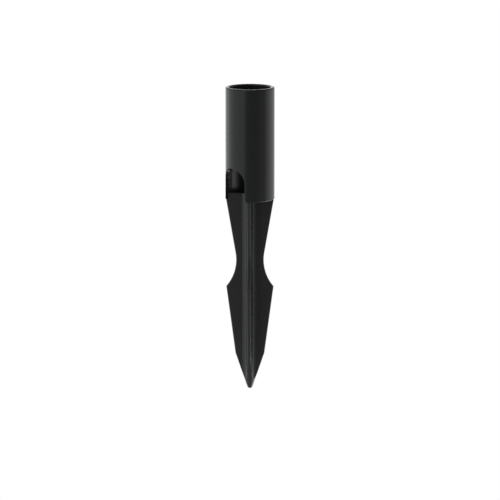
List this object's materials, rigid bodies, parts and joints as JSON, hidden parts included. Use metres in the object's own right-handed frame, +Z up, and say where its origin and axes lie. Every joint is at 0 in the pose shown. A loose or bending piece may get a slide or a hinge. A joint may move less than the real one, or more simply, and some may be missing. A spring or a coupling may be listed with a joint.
{
  "type": "post anchor spike",
  "caption": "Ground spike with an open round socket tube for a post or lamp, two opposite cable notches at ground level, and barbed blades in a cross that narrow to a point.",
  "frame": {"origin": "on the tube's axis at its lower edge, which is the ground line when the spike is driven in", "axes": "+Z up along the tube's axis, out of the ground; -Y towards the front blade; +X towards the right blade; the cable notch seen in the picture faces between -X and -Y, and a second one faces between +X and +Y"},
  "size_m": [0.045, 0.045, 0.281],
  "materials": {
    "tube_plastic": "satin black moulded plastic",
    "spike_plastic": "satin black moulded plastic"
  },
  "bodies": {
    "root": {"socket_tube": "tube_plastic", "spike_core": "spike_plastic", "blade_front": "spike_plastic", "blade_rear": "spike_plastic", "blade_left": "spike_plastic", "blade_right": "spike_plastic"}
  },
  "joints": []
}
